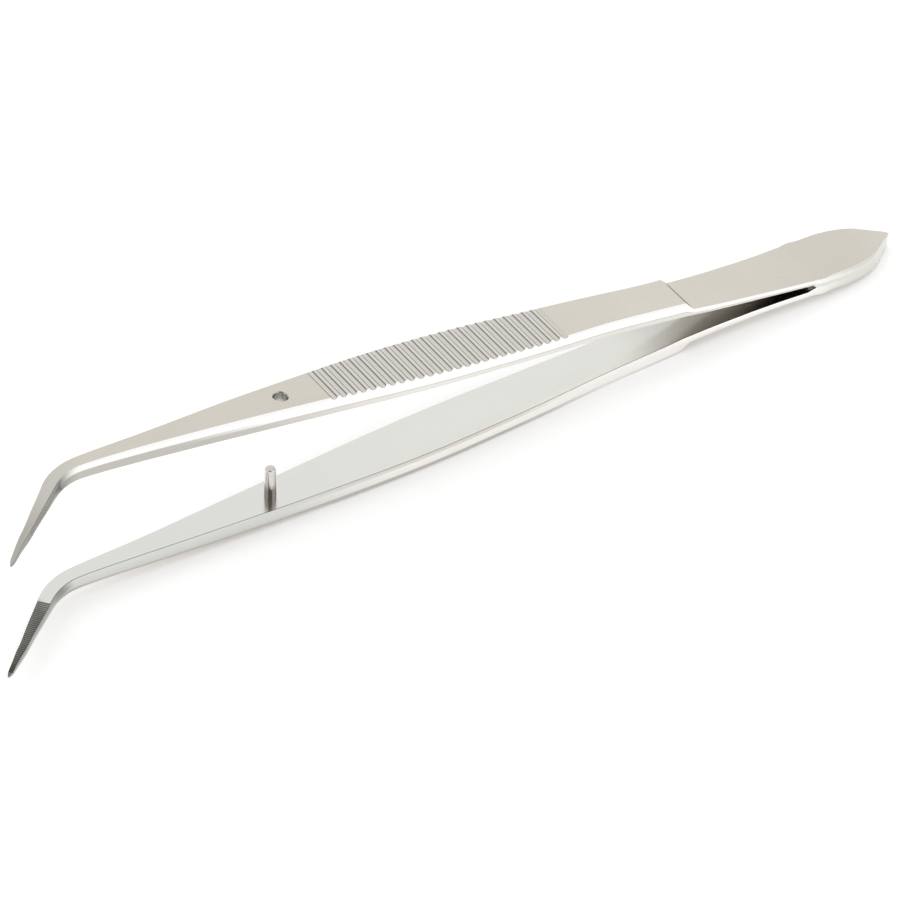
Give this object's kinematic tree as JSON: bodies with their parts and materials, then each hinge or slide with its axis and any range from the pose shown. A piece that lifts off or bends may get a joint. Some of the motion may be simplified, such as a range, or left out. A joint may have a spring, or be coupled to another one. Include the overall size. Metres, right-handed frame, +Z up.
{
  "type": "cotton pliers",
  "caption": "Bent-tip steel dressing tweezers: two sprung arms welded at a pointed heel, ribbed finger grips, toothed tips and a guide pin that enters a hole in the far arm.",
  "frame": {"origin": "middle of the footprint, on the table that the pliers lie on", "axes": "+X toward the heel, tips toward -X and bent toward -Y, +Z up from the table, lying on the lower arm"},
  "size_m": [0.1516, 0.018, 0.0241],
  "materials": {
    "arm_steel": "satin brushed faces and teeth, polished side walls",
    "pin_steel": "mirror polished stainless steel"
  },
  "bodies": {
    "root": {"upper_arm": "arm_steel", "lower_arm": "arm_steel", "guide_pin": "pin_steel"}
  },
  "joints": []
}
